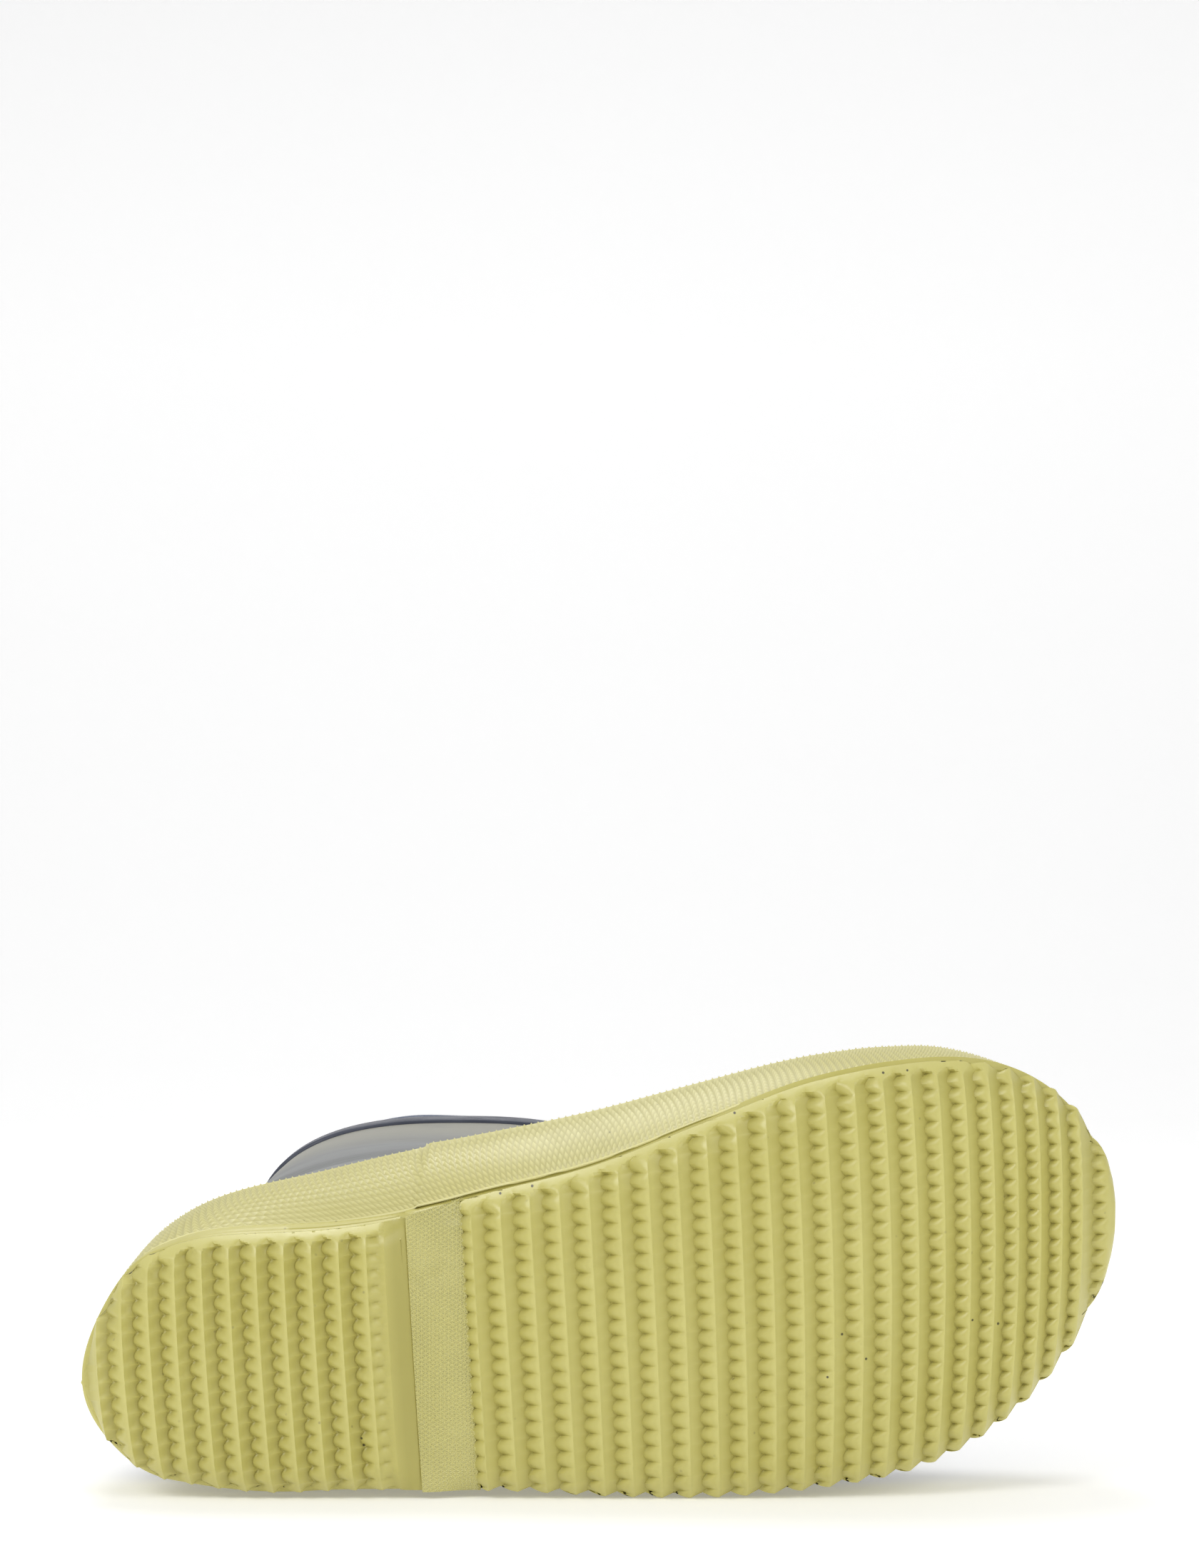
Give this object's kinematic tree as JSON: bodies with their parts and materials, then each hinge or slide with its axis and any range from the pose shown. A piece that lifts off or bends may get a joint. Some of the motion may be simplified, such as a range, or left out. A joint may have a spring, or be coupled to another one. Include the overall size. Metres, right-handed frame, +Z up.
{
  "type": "lined rubber boot",
  "caption": "Child's lined rubber boot for the left foot, lying on its outer side, with a V-ribbed sole, textured foxing band, navy collar binding and textile lining edge.",
  "frame": {"origin": "centre of the bounding box in plan, at the height of the lowest point, as the boot lies on its outer side", "axes": "+X from heel to toe, +Y from the sole towards the collar, +Z up, towards the boot's inner side; the sole faces -Y"},
  "size_m": [0.1846, 0.2004, 0.0787],
  "materials": {
    "lime_rubber": "semi-gloss moulded rubber",
    "grey_green_rubber": "satin",
    "navy_rubber": "satin",
    "slate_textile": "woven textile",
    "insole_felt": "felt"
  },
  "bodies": {
    "root": {"upper": "grey_green_rubber", "foxing": "lime_rubber", "outsole": "lime_rubber", "heel": "lime_rubber", "collar_binding": "navy_rubber", "cuff": "slate_textile", "insole": "insole_felt"}
  },
  "joints": []
}
